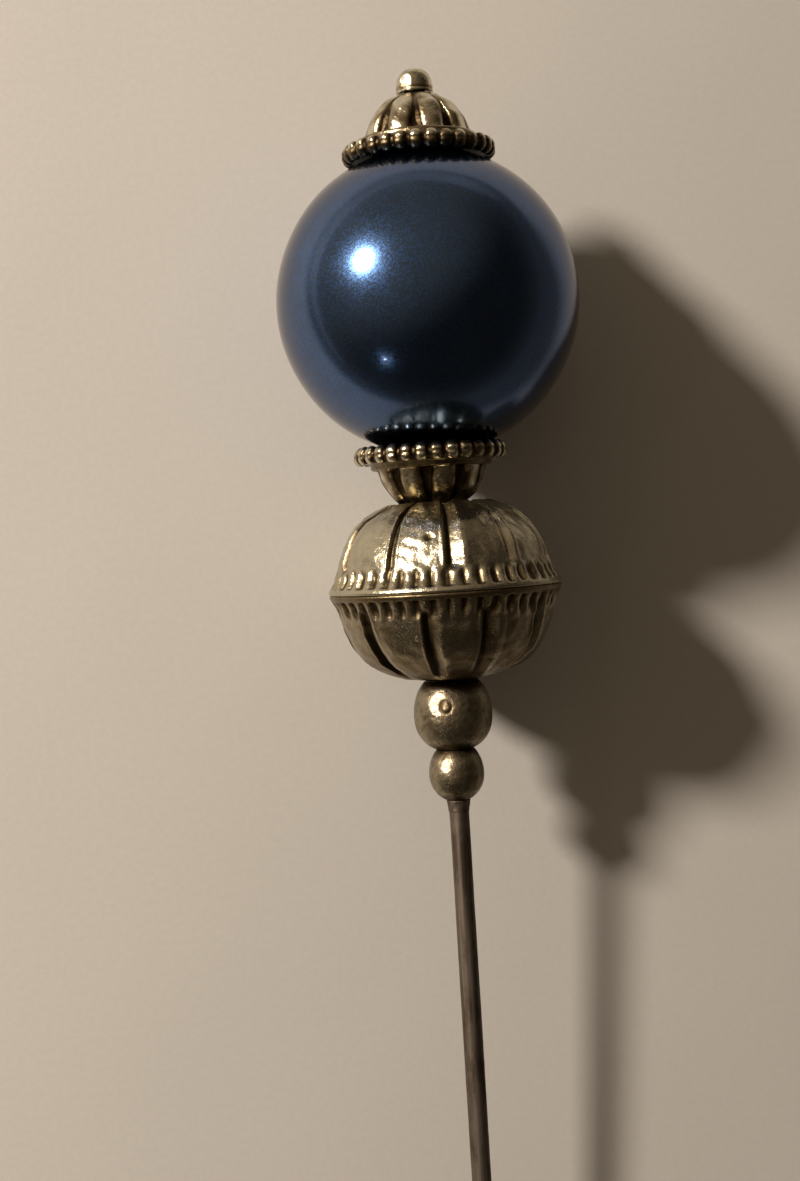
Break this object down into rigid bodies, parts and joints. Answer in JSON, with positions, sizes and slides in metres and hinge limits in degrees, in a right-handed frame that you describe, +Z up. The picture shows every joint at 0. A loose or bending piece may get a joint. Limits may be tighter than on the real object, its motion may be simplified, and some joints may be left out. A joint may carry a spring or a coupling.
{
  "type": "hat pin",
  "caption": "Long steel hat pin whose head is threaded with a dark pearl between bead caps, a fluted hollow bead and small round beads.",
  "frame": {"origin": "on the pin's axis, at the seat where the bare shaft leaves the stop collar under the smallest bead", "axes": "+Y along the pin towards its point, so the head lies towards -Y; +Z up and +X to the side, square to the pin"},
  "size_m": [0.016, 0.15, 0.016],
  "materials": {
    "steel_wire": "darkened, fine drawn lines",
    "antique_silver": "aged silver plate, dark in the recesses",
    "worn_silver": "worn plate, satin, with brown specks",
    "midnight_pearl": "metallic pearl coat, glossy"
  },
  "bodies": {
    "pin": {"pin_shaft": "steel_wire", "finial_knob": "antique_silver", "end_bead": "worn_silver", "stop_collar": "steel_wire"},
    "spacer": {"spacer_bead": "worn_silver"},
    "fluted_bead": {"fluted_bead_lower_shell": "antique_silver", "fluted_bead_upper_shell": "antique_silver"},
    "lower_cap": {"lower_bead_cap": "antique_silver"},
    "pearl": {"pearl_bead": "midnight_pearl"},
    "upper_cap": {"upper_bead_cap": "antique_silver"}
  },
  "joints": [
    {"name": "spacer_spin", "type": "hinge", "parent": "pin", "child": "spacer", "pos_m": [0, -0.00524, 0], "axis": [0, 1, 0], "continuous": true},
    {"name": "fluted_bead_spin", "type": "hinge", "parent": "pin", "child": "fluted_bead", "pos_m": [0, -0.01195, 0], "axis": [0, 1, 0], "continuous": true},
    {"name": "lower_cap_spin", "type": "hinge", "parent": "pin", "child": "lower_cap", "pos_m": [0, -0.01922, 0], "axis": [0, 1, 0], "continuous": true},
    {"name": "pearl_spin", "type": "hinge", "parent": "pin", "child": "pearl", "pos_m": [0, -0.02719, 0], "axis": [0, 1, 0], "continuous": true},
    {"name": "upper_cap_spin", "type": "hinge", "parent": "pin", "child": "upper_cap", "pos_m": [0, -0.035, 0], "axis": [0, 1, 0], "continuous": true}
  ]
}
